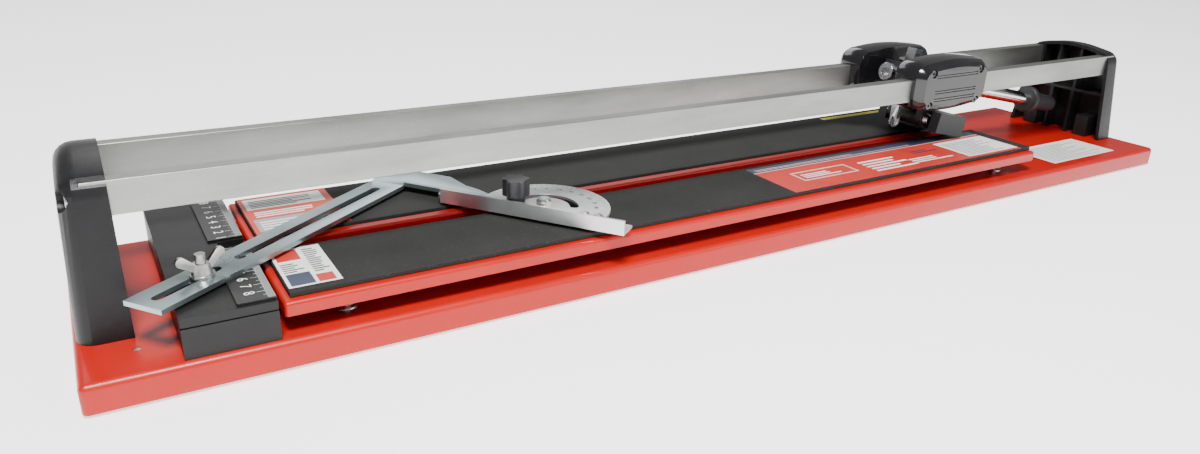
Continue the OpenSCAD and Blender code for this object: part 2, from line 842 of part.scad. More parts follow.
// The pillow-shaped outside of one housing: each layer is a distance from the inner face and an inset
module pillow(layers) {
    crown = 2.5;
    hull()
        for (layer = layers)
            translate([0, -housing_in - layer[0], 0]) rotate([90, 0, 0]) linear_extrude(layer_t)
                pillow_outline(layer[1], crown);
}

// Outline of a housing seen from the front, shrunk by an inset: round corners and arched edges
module pillow_outline(inset, crown) {
    half_l = housing_l/2 - housing_r;
    half_h = housing_h/2 - housing_r - crown;
    r = housing_r - inset;
    polygon([
        for (a = [0:10:80]) [half_l + r*cos(a), half_h + r*sin(a)],
        for (t = [1:-0.25:-1]) [t*half_l*0.95, half_h + r + crown*(1 - t*t)],
        for (a = [100:10:180]) [-half_l + r*cos(a), half_h + r*sin(a)],
        for (a = [180:10:260]) [-half_l + r*cos(a), -half_h + r*sin(a)],
        for (t = [-1:0.25:1]) [t*half_l*0.95, -half_h - r - crown*(1 - t*t)],
        for (a = [280:10:350]) [half_l + r*cos(a), -half_h + r*sin(a)]
    ]);
}

// Everything that is on the front side of the carriage is drawn about the carriage's middle
module on_carriage() {
    translate([carriage_x, 0, housing_z]) children();
}

// One housing: a block with a channel for the rail, pockets for the rollers and bores for the pins
module housing() {
    channel_w = rail_t + 2*rail_gap;
    shoe_h = 4;
    difference() {
        pillow([[0, 1.5], [4, 0], [housing_w - 15, 0], [housing_w - cover_t - layer_t, seam_inset]]);
        translate([-housing_l, -rail_pitch/2 - channel_w/2, rail_z - housing_z - shoe_h])
            cube([2*housing_l, channel_w, rail_h + shoe_h + 0.35]);
        for (x = roller_xs)
            translate([x - roller_d/2 - 1, -rail_pitch/2 - roller_w/2 - 0.5, rail_top - housing_z - 1])
                cube([roller_d + 2, roller_w + 1, roller_d + 2]);
        for (x = roller_xs)
            translate([x, -housing_seam + 0.5, roller_z - housing_z]) rotate([-90, 0, 0])
                cylinder(d = roller_pin_d, h = housing_seam - housing_in - 5);
        for (x = [-screw_dx, screw_dx], z = [-screw_dz, screw_dz])
            translate([x, -housing_seam - 1, z - 1.5]) rotate([-90, 0, 0]) cylinder(d = 3, h = 3.4);
        translate([hub_x - carriage_x + axle_u*cos(lever_tilt), -housing_in + 1,
                   hub_z - housing_z - axle_u*sin(lever_tilt)])
            rotate([90, 0, 0]) cylinder(d = axle_d, h = 9);
    }
}

// The outer cover: two raised bands, curved grooves and four recessed screw seats
module cover() {
    groove = 0.9;
    difference() {
        pillow([[housing_w - cover_t + 0.05, seam_inset], [housing_w - 4, 3.5], [housing_w - layer_t, 7.5]]);
        for (z = [8.5, -5.5, -12.5], k = [0, 1])
            translate([-28, -housing_out - 1, z + 2.2*k]) cube([56, 1 + groove, 0.9]);
        for (x = [-screw_dx, screw_dx], z = [-screw_dz, screw_dz])
            translate([x, -housing_out - 1, z - 1.5]) rotate([-90, 0, 0]) {
                cylinder(d = 7.4, h = 1 + 4);
                cylinder(d = 3.2, h = 1 + cover_t + 1);
            }
    }
}

module front_housing() {
    color([0.07, 0.07, 0.08]) on_carriage() housing();
}

module back_housing() {
    color([0.07, 0.07, 0.08]) on_carriage() mirror([0, 1, 0]) housing();
}

module front_cover() {
    color([0.07, 0.07, 0.08]) on_carriage() cover();
}

module back_cover() {
    color([0.07, 0.07, 0.08]) on_carriage() mirror([0, 1, 0]) cover();
}

module cover_screws() {
    color([0.20, 0.20, 0.21])
        on_carriage() both_sides()
            for (x = [-screw_dx, screw_dx], z = [-screw_dz, screw_dz])
                translate([x, -housing_out + 4, z - 1.5]) rotate([90, 0, 0])
                    socket_screw(2.9, cover_t - 4 + 2, 6.4, 2.6);
}

module roller_pins() {
    color([0.70, 0.70, 0.70])
        on_carriage() both_sides()
            for (x = roller_xs)
                translate([x, -housing_seam + 1, roller_z - housing_z]) rotate([-90, 0, 0])
                    cylinder(d = roller_pin_d - 0.06, h = housing_seam - housing_in - 7);
}

// Nylon shoes that slide along the rails' undersides
module glide_shoes() {
    color([0.85, 0.85, 0.80])
        on_carriage() both_sides()
            for (x = roller_xs)
                translate([x - 9, -rail_pitch/2 - rail_t/2, rail_z - housing_z - 4])
                    cube([18, rail_t, 4 - 0.15]);
}

// The shaft that ties the housings together and carries the lever
module cross_axle() {
    color([0.70, 0.70, 0.70])
        on_lever() translate([axle_u, 0, 0]) rotate([90, 0, 0])
            cylinder(d = axle_d - 0.06, h = 2*(housing_in + 7), center = true);
}

module roller(x) {
    translate([x, -rail_pitch/2, roller_z - housing_z]) rotate([90, 0, 0])
        difference() {
            cylinder(d = roller_d, h = roller_w, center = true);
            cylinder(r = roller_pin_d/2 + run_gap, h = roller_w + 1, center = true);
        }
}

module front_roller_left() {
    color([0.60, 0.60, 0.62]) on_carriage() roller(roller_xs[0]);
}

module front_roller_right() {
    color([0.60, 0.60, 0.62]) on_carriage() roller(roller_xs[1]);
}

module back_roller_left() {
    color([0.60, 0.60, 0.62]) on_carriage() mirror([0, 1, 0]) roller(roller_xs[0]);
}

module back_roller_right() {
    color([0.60, 0.60, 0.62]) on_carriage() mirror([0, 1, 0]) roller(roller_xs[1]);
}

// ---------- lever ----------

hub_u0 = -23;
hub_u1 = 34;
hub_top = 11;
hub_low = -12;
hub_side = 11;

// A cast body: a square bar, a cross boss for the axle and two cheeks for the breaking foot
module lever_hub() {
    color([0.08, 0.08, 0.08])
        on_lever()
            difference() {
                union() {
                    translate([hub_u0, -hub_side, hub_low]) cube([hub_u1 - hub_u0, 2*hub_side, hub_top - hub_low]);
                    translate([axle_u, 0, 0]) rotate([90, 0, 0]) cylinder(r = 11, h = 2*hub_half, center = true);
                    for (s = [-1, 1])
                        hull() {
                            translate([axle_u, s*(cheek_in + cheek_t/2), 0]) rotate([90, 0, 0])
                                cylinder(r = 10, h = cheek_t, center = true, $fn = 32);
                            translate([breaker_u, s*(cheek_in + cheek_t/2), breaker_w_line]) rotate([90, 0, 0])
                                cylinder(r = 9, h = cheek_t, center = true, $fn = 32);
                        }
                }
                translate([axle_u, 0, 0]) rotate([90, 0, 0])
                    cylinder(r = axle_d/2 + run_gap, h = 2*hub_half + 2, center = true);
                translate([breaker_u, 0, breaker_w_line]) rotate([90, 0, 0])
                    cylinder(d = 6, h = 2*hub_half + 2, center = true);
                translate([-shaft_w/2 - 0.05, -shaft_w/2 - 0.05, hub_low - 1])
                    cube([shaft_w + 0.1, shaft_w + 0.1, hub_top - hub_low + 2]);
                translate([hub_u0 - 1, 0, 0]) rotate([0, 90, 0]) cylinder(d = 10, h = -hub_u0 + 1);
                translate([hub_u1 - 8, 0, 0]) rotate([0, 90, 0]) cylinder(d = tube_d, h = 9);
            }
}

// The socket screw that clamps the wheel shaft
module hub_screw() {
    color([0.74, 0.74, 0.74])
        on_lever() translate([hub_u0, 0, 0]) rotate([0, -90, 0])
            socket_screw(9.9, -hub_u0 - shaft_w/2 - 0.2, 16, 10);
}

// Square bar with a tapered, forked lower end that holds the cutting wheel
module wheel_shaft() {
    top = 26;
    taper_z = -22;
    tip_z = -wheel_reach + 2.4;
    axle_z = -wheel_reach + wheel_d/2;
    color([0.72, 0.73, 0.74])
        on_lever()
            difference() {
                union() {
                    translate([-shaft_w/2, -shaft_w/2, taper_z]) cube([shaft_w, shaft_w, top - taper_z]);
                    hull() {
                        translate([-shaft_w/2, -shaft_w/2, taper_z]) cube([shaft_w, shaft_w, e]);
                        translate([-2.2, -3.2, tip_z]) cube([4.4, 6.4, e]);
                    }
                    translate([0, 0, axle_z]) rotate([90, 0, 0]) cylinder(r = 2.6, h = 7, center = true);
                }
                translate([-10, -wheel_t/2 - slide_gap, tip_z - 5])
                    cube([20, wheel_t + 2*slide_gap, wheel_d + 3]);
                translate([0, 0, axle_z]) rotate([90, 0, 0]) cylinder(d = 3, h = 12, center = true);
            }
}

module wheel_axle() {
    color([0.70, 0.70, 0.70])
        on_lever() translate([0, 0, -wheel_reach + wheel_d/2]) rotate([90, 0, 0])
            cylinder(d = 2.94, h = 7.4, center = true);
}

// A small carbide disc ground to an edge
module cutting_wheel() {
    color([0.55, 0.56, 0.58])
        on_lever() translate([0, 0, -wheel_reach + wheel_d/2]) rotate([90, 0, 0])
            difference() {
                union() {
                    cylinder(d1 = wheel_d - wheel_t, d2 = wheel_d, h = wheel_t/2);
                    translate([0, 0, -wheel_t/2]) cylinder(d = wheel_d - wheel_t, h = wheel_t);
                    mirror([0, 0, 1]) cylinder(d1 = wheel_d, d2 = wheel_d - wheel_t, h = wheel_t/2);
                }
                cylinder(r = 1.5 + run_gap, h = wheel_t + 1, center = true);
            }
}

module lever_tube() {
    wall = 2;
    color([0.80, 0.81, 0.82])
        on_lever() translate([hub_u1 - 8, 0, 0]) rotate([0, 90, 0])
            difference() {
                cylinder(d = tube_d - 0.06, h = tube_l + grip_l - hub_u1 + 8);
                translate([0, 0, -e]) cylinder(d = tube_d - 2*wall, h = tube_l + grip_l);
            }
}

module hand_guard() {
    guard_t = 8;
    color([0.08, 0.08, 0.08])
        on_lever() translate([tube_l, 0, 0]) rotate([0, 90, 0])
            difference() {
                rotate_extrude() {
                    translate([0, 0]) square([guard_d/2 - 2.5, guard_t]);
                    translate([0, 2.5]) square([guard_d/2, guard_t - 5]);
                    for (z = [2.5, guard_t - 2.5]) translate([guard_d/2 - 2.5, z]) circle(2.5, $fn = 32);
                }
                translate([0, 0, -1]) cylinder(d = tube_d, h = guard_t + 2);
            }
}

// A moulded grip with a domed end
module grip() {
    color([0.12, 0.12, 0.13])
        on_lever() translate([tube_l + 8, 0, 0]) rotate([0, 90, 0])
            difference() {
                rotate_extrude()
                    polygon([
                        [0, 0], [grip_d/2 - 1, 0], [grip_d/2, 4], [grip_d/2 - 1.4, 9], [grip_d/2 - 1.2, grip_l - 16],
                        for (a = [0:15:90]) [(grip_d/2 - 1.6)*cos(a), grip_l - 9 + 9*sin(a)]
                    ]);
                translate([0, 0, -1]) cylinder(d = tube_d, h = grip_l - 8 + 1);
            }
}

// Pivot bolt of the breaking foot, with a low round head on the front cheek
module foot_bolt() {
    reach = cheek_in + cheek_t;
    color([0.72, 0.73, 0.73])
        on_lever() translate([breaker_u, 0, breaker_w_line]) rotate([90, 0, 0]) {
            translate([0, 0, -reach - 6]) cylinder(d = 5.94, h = 2*reach + 6.1);
            translate([0, 0, reach + 0.05]) cylinder(d1 = 12, d2 = 8, h = 3.6);
        }
}

module foot_nut() {
    color([0.72, 0.73, 0.73])
        on_lever() translate([breaker_u, cheek_in + cheek_t + 5.05, breaker_w_line]) rotate([90, 0, 0])
            hex_nut(10, 5, 5.96);
}

// The presser: a wide bar with a lug on the bolt and two wings that clear the cheeks
module breaking_foot() {
    bar_u0 = 34;
    bar_u1 = 58;
    wing_u0 = 18;
    wing_in = cheek_in + cheek_t + 6.5;
    top = -breaker_reach + breaker_h;
    lug_half = cheek_in - slide_gap;
    color([0.07, 0.07, 0.07])
        on_lever()
            difference() {
                union() {
                    translate([bar_u0, -breaker_w/2, -breaker_reach]) cube([bar_u1 - bar_u0, breaker_w, breaker_h]);
                    for (s = [-1, 1])
                        translate([wing_u0, s > 0 ? wing_in : -breaker_w/2, -breaker_reach])
                            cube([bar_u0 - wing_u0 + 1, breaker_w/2 - wing_in, breaker_h]);
                    translate([breaker_u, -lug_half, -breaker_reach]) cube([bar_u0 - breaker_u + 1, 2*lug_half, breaker_h]);
                    translate([breaker_u, 0, breaker_w_line]) rotate([90, 0, 0])
                        cylinder(r = 8, h = 2*lug_half, center = true);
                }
                translate([breaker_u, 0, breaker_w_line]) rotate([90, 0, 0])
                    cylinder(r = 3 + run_gap, h = 2*lug_half + 2, center = true);
            }
}

// ---------- what is drawn ----------

base_tray();
rubber_feet();
foot_screws();
left_post();
right_post();
post_screws();
front_rail();
back_rail();
rail_screws();
breaking_ridge();
stop_block();
block_screws();
ruler_plates();
clamp_stud();
spacer_washer();
front_table();
front_pad();
front_guide_bolts();
front_guide_nuts();
front_springs();
back_table();
back_pad();
back_guide_bolts();
back_guide_nuts();
back_springs();
clamp_washer();
wing_nut();
slotted_arm();
knob_stud();
star_knob();
fence();
protractor();
disc_rivets();
pivot_bolt();
pivot_nut();
front_housing();
back_housing();
front_cover();
back_cover();
cover_screws();
roller_pins();
glide_shoes();
cross_axle();
front_roller_left();
front_roller_right();
back_roller_left();
back_roller_right();
lever_hub();
hub_screw();
wheel_shaft();
wheel_axle();
cutting_wheel();
lever_tube();
hand_guard();
grip();
foot_bolt();
foot_nut();
breaking_foot();
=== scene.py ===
import bmesh
import bpy
import json
import math
from mathutils import Matrix, Vector

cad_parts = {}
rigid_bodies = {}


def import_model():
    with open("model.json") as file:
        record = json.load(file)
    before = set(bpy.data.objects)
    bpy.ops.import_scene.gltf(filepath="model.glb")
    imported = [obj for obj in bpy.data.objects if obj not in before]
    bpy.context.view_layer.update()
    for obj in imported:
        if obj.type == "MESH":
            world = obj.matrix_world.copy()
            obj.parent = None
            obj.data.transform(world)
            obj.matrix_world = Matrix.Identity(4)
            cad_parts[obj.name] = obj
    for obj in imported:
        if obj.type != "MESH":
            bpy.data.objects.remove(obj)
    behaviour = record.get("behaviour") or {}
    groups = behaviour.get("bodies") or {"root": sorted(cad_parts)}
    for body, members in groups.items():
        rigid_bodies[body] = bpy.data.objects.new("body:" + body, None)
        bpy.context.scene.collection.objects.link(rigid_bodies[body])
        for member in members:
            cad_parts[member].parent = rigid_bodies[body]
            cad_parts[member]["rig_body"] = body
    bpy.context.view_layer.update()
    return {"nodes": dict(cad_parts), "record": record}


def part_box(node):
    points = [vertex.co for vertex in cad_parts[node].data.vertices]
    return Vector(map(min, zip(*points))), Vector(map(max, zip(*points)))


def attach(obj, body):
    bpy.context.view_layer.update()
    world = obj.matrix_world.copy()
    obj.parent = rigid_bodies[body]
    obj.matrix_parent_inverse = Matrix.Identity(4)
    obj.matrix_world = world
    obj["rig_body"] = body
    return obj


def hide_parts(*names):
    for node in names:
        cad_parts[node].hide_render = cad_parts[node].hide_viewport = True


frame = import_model()
nodes = frame["nodes"]
slot_of = {s["node"]: s["material_slot"] for s in frame["record"]["subparts"]}

# One millimetre in the scene's metres. Lengths below are in millimetres unless they say otherwise.
MM = 0.001
WELD_DISTANCE_M = 2e-6
COPLANAR_ANGLE = 0.6
SHARP_ANGLE = 32
SPRING_SHARP_ANGLE = 40
LEAST_BEVEL_ANGLE = 35
LATHE_SHARP_ANGLE = 35
BEVEL_SEGMENTS = 3
# Height of printing above the surface it lies on, of each further layer, and of figures
PRINT_LIFT = 0.06
LAYER_STEP = 0.03
FIGURE_LIFT = 0.12


# ---------------------------------------------------------------- materials
COAT_ROUGHNESS = 0.08
TINT_RAMP = (0.3, 0.7)
TINT_DETAIL = 6.0
FINE_DETAIL = 3.0
DUST_SCALE = 420.0
DUST_CUT = (0.62, 0.75)
BUMP_DEPTH_M = 0.0004
SMOOTHEST = 0.02


def material(name, color, rough, metal=0.0, coat=0.0, tint=0.06, scale=60.0, stretch=(1, 1, 1),
             bump=0.0, bump_scale=900.0, spread=0.08, dust=0.0, dust_color=(0.55, 0.53, 0.5),
             spec=0.5):
    """A surface whose colour, roughness and relief vary over the piece, from object coordinates."""
    m = bpy.data.materials.new(name)
    m.use_nodes = True
    t = m.node_tree
    b = t.nodes["Principled BSDF"]
    b.inputs["Metallic"].default_value = metal
    b.inputs["Coat Weight"].default_value = coat
    b.inputs["Coat Roughness"].default_value = COAT_ROUGHNESS
    b.inputs["Specular IOR Level"].default_value = spec
    co = t.nodes.new("ShaderNodeTexCoord")
    mp = t.nodes.new("ShaderNodeMapping")
    mp.inputs["Scale"].default_value = stretch
    t.links.new(co.outputs["Object"], mp.inputs["Vector"])
    big = t.nodes.new("ShaderNodeTexNoise")
    big.inputs["Scale"].default_value = scale
    big.inputs["Detail"].default_value = TINT_DETAIL
    t.links.new(mp.outputs["Vector"], big.inputs["Vector"])
    ramp = t.nodes.new("ShaderNodeValToRGB")
    ramp.color_ramp.elements[0].position, ramp.color_ramp.elements[1].position = TINT_RAMP
    ramp.color_ramp.elements[0].color = [c * (1 - tint) for c in color] + [1]
    ramp.color_ramp.elements[1].color = [min(1, c * (1 + tint)) for c in color] + [1]
    t.links.new(big.outputs["Fac"], ramp.inputs["Fac"])
    out = ramp.outputs["Color"]
    if dust:
        speck = t.nodes.new("ShaderNodeTexNoise")
        speck.inputs["Scale"].default_value = DUST_SCALE
        speck.inputs["Detail"].default_value = FINE_DETAIL
        t.links.new(co.outputs["Object"], speck.inputs["Vector"])
        cut = t.nodes.new("ShaderNodeMapRange")
        cut.inputs["From Min"].default_value, cut.inputs["From Max"].default_value = DUST_CUT
        cut.inputs["To Max"].default_value = dust
        t.links.new(speck.outputs["Fac"], cut.inputs["Value"])
        mix = t.nodes.new("ShaderNodeMixRGB")
        mix.inputs["Color2"].default_value = list(dust_color) + [1]
        t.links.new(cut.outputs["Result"], mix.inputs["Fac"])
        t.links.new(out, mix.inputs["Color1"])
        out = mix.outputs["Color"]
    t.links.new(out, b.inputs["Base Color"])
    rr = t.nodes.new("ShaderNodeMapRange")
    rr.inputs["To Min"].default_value = max(SMOOTHEST, rough - spread)
    rr.inputs["To Max"].default_value = min(1, rough + spread)
    t.links.new(big.outputs["Fac"], rr.inputs["Value"])
    t.links.new(rr.outputs["Result"], b.inputs["Roughness"])
    if bump:
        fine = t.nodes.new("ShaderNodeTexNoise")
        fine.inputs["Scale"].default_value = bump_scale
        fine.inputs["Detail"].default_value = FINE_DETAIL
        t.links.new(mp.outputs["Vector"], fine.inputs["Vector"])
        bp = t.nodes.new("ShaderNodeBump")
        bp.inputs["Strength"].default_value = bump
        bp.inputs["Distance"].default_value = BUMP_DEPTH_M
        t.links.new(fine.outputs["Fac"], bp.inputs["Height"])
        t.links.new(bp.outputs["Normal"], b.inputs["Normal"])
    return m


RED = (0.42, 0.006, 0.002)
MAT = {
    "red_paint": material("red_paint", RED, 0.38, coat=0.1, spec=0.32, tint=0.05, scale=14,
                          bump=0.05, bump_scale=700),
    "foot_rubber": material("foot_rubber", (0.02, 0.02, 0.02), 0.75, tint=0.2, bump=0.2),
    "zinc_screws": material("zinc_screws", (0.55, 0.56, 0.58), 0.32, metal=1, tint=0.12, scale=300),
    "post_plastic": material("post_plastic", (0.008, 0.008, 0.009), 0.4, tint=0.2, bump=0.3,
                             bump_scale=1400, spec=0.3),
    "rail_steel": material("rail_steel", (0.3, 0.305, 0.285), 0.36, metal=0.92, tint=0.2, scale=12,
                           stretch=(1, 5, 5), bump=0.08, bump_scale=500, dust=0.16),
    "block_plastic": material("block_plastic", (0.009, 0.009, 0.009), 0.45, tint=0.2, bump=0.2,
                              bump_scale=1100, spec=0.28),
    "ruler_black": material("ruler_black", (0.008, 0.008, 0.008), 0.33, tint=0.12, bump=0.05),
    "zinc_hardware": material("zinc_hardware", (0.58, 0.57, 0.54), 0.3, metal=1, tint=0.14,
                              scale=250),
    "pad_rubber": material("pad_rubber", (0.022, 0.022, 0.021), 0.75, tint=0.14, scale=25, bump=0.6,
                           spec=0.2, bump_scale=1300, dust=0.25, dust_color=(0.1, 0.1, 0.097)),
    "spring_steel": material("spring_steel", (0.5, 0.5, 0.5), 0.3, metal=1, tint=0.1),
    "arm_zinc": material("arm_zinc", (0.34, 0.41, 0.42), 0.3, metal=0.9, tint=0.12, scale=30,
                         bump=0.06),
    "knob_plastic": material("knob_plastic", (0.018, 0.018, 0.02), 0.4, tint=0.15, bump=0.15),
    "aluminium_trim": material("aluminium_trim", (0.72, 0.73, 0.74), 0.34, metal=0.9, tint=0.06,
                               scale=40, bump=0.05),
    "housing_gloss": material("housing_gloss", (0.007, 0.007, 0.008), 0.14, coat=0.3, tint=0.2,
                              bump=0.03),
    "dark_screws": material("dark_screws", (0.1, 0.1, 0.11), 0.35, metal=1, tint=0.15),
    "bright_steel": material("bright_steel", (0.62, 0.63, 0.65), 0.25, metal=1, tint=0.1, scale=180),
    "nylon": material("nylon", (0.75, 0.74, 0.68), 0.5, tint=0.05),
    "cast_black": material("cast_black", (0.014, 0.014, 0.015), 0.42, tint=0.2, bump=0.45,
                           bump_scale=700),
    "carbide": material("carbide", (0.25, 0.25, 0.27), 0.3, metal=1, tint=0.12),
    "lever_chrome": material("lever_chrome", (0.8, 0.81, 0.83), 0.13, metal=1, tint=0.04,
                             spread=0.04),
    "grip_rubber": material("grip_rubber", (0.022, 0.022, 0.024), 0.5, tint=0.2, bump=0.3),
}
WHITE = material("print_white", (0.82, 0.82, 0.8), 0.45, tint=0.04, spread=0.05)
NAVY = material("print_navy", (0.035, 0.045, 0.085), 0.4, tint=0.1)
LABEL_RED = material("print_red", (0.5, 0.03, 0.02), 0.4, tint=0.08)
PALE = material("print_pale", (0.7, 0.45, 0.4), 0.42, tint=0.06)
YELLOW = material("print_yellow", (0.78, 0.68, 0.03), 0.4, tint=0.08)
ORANGE = material("print_orange", (0.55, 0.045, 0.01), 0.4, tint=0.08)
GREY = material("print_grey", (0.3, 0.31, 0.32), 0.45, tint=0.08)
INK = material("print_ink", (0.05, 0.05, 0.055), 0.5, tint=0.1)
BLUE = material("insert_blue", (0.03, 0.12, 0.4), 0.4, tint=0.1)


# ---------------------------------------------------------------- helpers
def add(name, mesh, body, mats):
    """An object of this mesh that moves with a body."""
    o = bpy.data.objects.new(name, mesh)
    bpy.context.scene.collection.objects.link(o)
    for m in mats:
        o.data.materials.append(m)
    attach(o, body)
    return o


def soften(o, width, angle):
    """Rounds the edges of an object that are sharper than an angle in degrees."""
    b = o.modifiers.new("edges", "BEVEL")
    b.width = width * MM
    b.segments = BEVEL_SEGMENTS
    b.limit_method = "ANGLE"
    b.angle_limit = math.radians(angle)
    b.use_clamp_overlap = True
    b.harden_normals = True


def refine(node, width, angle):
    """A welded, smoothly shaded copy of a CAD node with eased edges, shown in its place."""
    src = nodes[node]
    bm = bmesh.new()
    bm.from_mesh(src.data)
    bmesh.ops.remove_doubles(bm, verts=bm.verts, dist=WELD_DISTANCE_M)
    bmesh.ops.dissolve_limit(bm, angle_limit=math.radians(COPLANAR_ANGLE), verts=bm.verts,
                             edges=bm.edges)
    me = bpy.data.meshes.new(node + "_skin")
    bm.to_mesh(me)
    bm.free()
    me.shade_smooth()
    me.set_sharp_from_angle(angle=math.radians(angle))
    o = add(node + "_skin", me, src["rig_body"], [MAT[slot_of[node]]])
    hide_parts(node)
    if width:
        soften(o, width, max(angle, LEAST_BEVEL_ANGLE))


def quads(name, body, z, cells, mats):
    """Flat printed shapes: cells are (x0, x1, y0, y1, material, layer)."""
    me = bpy.data.meshes.new(name)
    vs, fs, idx = [], [], []
    for x0, x1, y0, y1, k, layer in cells:
        n = len(vs)
        for x, y in ((x0, y0), (x1, y0), (x1, y1), (x0, y1)):
            vs.append((x * MM, y * MM, z + (PRINT_LIFT + LAYER_STEP * layer) * MM))
        fs.append((n, n + 1, n + 2, n + 3))
        idx.append(k)
    me.from_pydata(vs, [], fs)
    add(name, me, body, mats)
    for p, k in zip(me.polygons, idx):
        p.material_index = k


def lines(x0, x1, y0, y1, n, k, layer, fill=0.5, seed=1):
    """Rows of short bars of uneven length that stand for small print."""
    least, spread = 0.55, 0.45
    factor, shift, period = 1103515245, 12345, 2147483648
    out = []
    step = (y1 - y0) / n
    for i in range(n):
        seed = (seed * factor + shift) % period
        cut = least + spread * ((seed >> 8) % 100) / 100
        a = y0 + i * step
        out.append((x0, x0 + (x1 - x0) * cut, a, a + step * fill, k, layer))
    return out


def lathe(name, profile, matrix, body, mat, steps):
    """A profile of (radius, height) points turned about the local Z axis and placed by matrix."""
    me = bpy.data.meshes.new(name)
    vs, fs = [], []
    for r, h in profile:
        for k in range(steps):
            a = 2 * math.pi * k / steps
            vs.append(matrix @ Vector((r * MM * math.cos(a), r * MM * math.sin(a), h * MM)))
    for i in range(len(profile) - 1):
        for k in range(steps):
            k2 = (k + 1) % steps
            fs.append((i * steps + k, i * steps + k2, (i + 1) * steps + k2, (i + 1) * steps + k))
    fs.append(tuple(reversed(range(steps))))
    fs.append(tuple((len(profile) - 1) * steps + k for k in range(steps)))
    me.from_pydata(vs, [], fs)
    me.shade_smooth()
    me.set_sharp_from_angle(angle=math.radians(LATHE_SHARP_ANGLE))
    add(name, me, body, [mat])


def figure(name, text, x, y, z, size, body, mat, turn):
    """A printed number centred on x, y and turned by an angle in radians."""
    c = bpy.data.curves.new(name, "FONT")
    c.body = text
    c.size = size * MM
    c.align_x = "CENTER"
    c.align_y = "CENTER"
    t = bpy.data.objects.new(name + "_t", c)
    bpy.context.scene.collection.objects.link(t)
    bpy.context.view_layer.update()
    me = bpy.data.meshes.new_from_object(t.evaluated_get(bpy.context.evaluated_depsgraph_get()))
    bpy.data.objects.remove(t)
    lift = Matrix.Translation((x * MM, y * MM, z + FIGURE_LIFT * MM))
    me.transform(lift @ Matrix.Rotation(turn, 4, "Z"))
    me.materials.clear()
    me.name = name
    add(name, me, body, [mat])


def top(node):
    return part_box(node)[1].z


# ---------------------------------------------------------------- CAD pieces, refined
# How far the edges of each piece are rounded; the rest keep their CAD edges
EASE = {
    "left_post": 0.8, "right_post": 0.8, "front_rail": 0.5, "back_rail": 0.5,
    "stop_block": 0.7, "ruler_plates": 0.25, "front_pad": 0.5, "back_pad": 0.5,
    "slotted_arm": 0.35, "fence": 0.25, "protractor": 0.2,
    "front_housing": 0.6, "back_housing": 0.6, "front_cover": 0.5, "back_cover": 0.5,
    "lever_hub": 0.8, "breaking_foot": 1.2, "wheel_shaft": 0.4, "star_knob": 0.9, "wing_nut": 0.25,
    "hub_screw": 0.5, "cover_screws": 0.2, "rail_screws": 0.3, "pivot_nut": 0.3, "foot_nut": 0.3,
    "foot_bolt": 0.4, "pivot_bolt": 0.3, "disc_rivets": 0.2, "clamp_washer": 0.15,
    "spacer_washer": 0.15,
}
for name in sorted(nodes):
    refine(name, EASE.get(name, 0.0), SPRING_SHARP_ANGLE if "spring" in name else SHARP_ANGLE)


# ---------------------------------------------------------------- printed labels
lab = [WHITE, NAVY, LABEL_RED, PALE, GREY, INK, ORANGE, YELLOW]
W, N, R, P, G, K, O, Y = range(8)
front = [(-3, 282, -84, -22, R, 0), (-3, 282, -33, -22, N, 1), (-3, 282, -34.2, -33, P, 1),
         (212, 281, -80, -38, W, 2), (24, 86, -66, -46, P, 1), (26, 84, -64, -48, R, 2)]
front += lines(216, 277, -77, -42, 11, G, 3, seed=3)
front += lines(30, 78, -61, -51, 3, W, 3, seed=5)
front += lines(100, 158, -74, -46, 5, W, 2, seed=9)
front += lines(170, 205, -52, -44, 2, N, 2, seed=12)
front += lines(150, 204, -72, -60, 3, W, 3, seed=14)
front += lines(2, 200, -30.5, -25.5, 2, P, 2, seed=16, fill=0.35)
quads("front_pad_label", "front_table", top("front_pad"), front, lab)
left = [(-387, -356, -79, -21, W, 0), (-385, -371, -77, -60, N, 1), (-385, -371, -40, -24, R, 1),
        (-369, -359, -77, -66, R, 1)]
left += lines(-368, -358, -62, -24, 12, K, 2, seed=21)
left += lines(-385, -372, -58, -43, 5, K, 2, seed=23)
quads("left_pad_label", "front_table", top("front_pad"), left, lab)
back = [(-387, -325, 10, 84, O, 0), (-384, -330, 14, 38, G, 1), (-384, -330, 58, 80, W, 1)]
back += lines(-381, -334, 61, 77, 5, K, 2, seed=31)
back += lines(-381, -334, 17, 35, 4, W, 2, seed=33)
back += lines(-381, -336, 42, 54, 3, W, 1, seed=35)
quads("back_pad_label", "back_table", top("back_pad"), back, lab)
strip = [(180, 266, 72, 78, Y, 0)] + lines(184, 262, 73.2, 76.8, 2, K, 1, seed=41, fill=0.4)
quads("back_pad_strip", "back_table", top("back_pad"), strip, lab)
note = [(343, 446, -84, -36, W, 0)] + lines(347, 440, -80, -40, 13, G, 1, seed=51, fill=0.4)
quads("tray_label", "frame", top("base_tray"), note, lab)

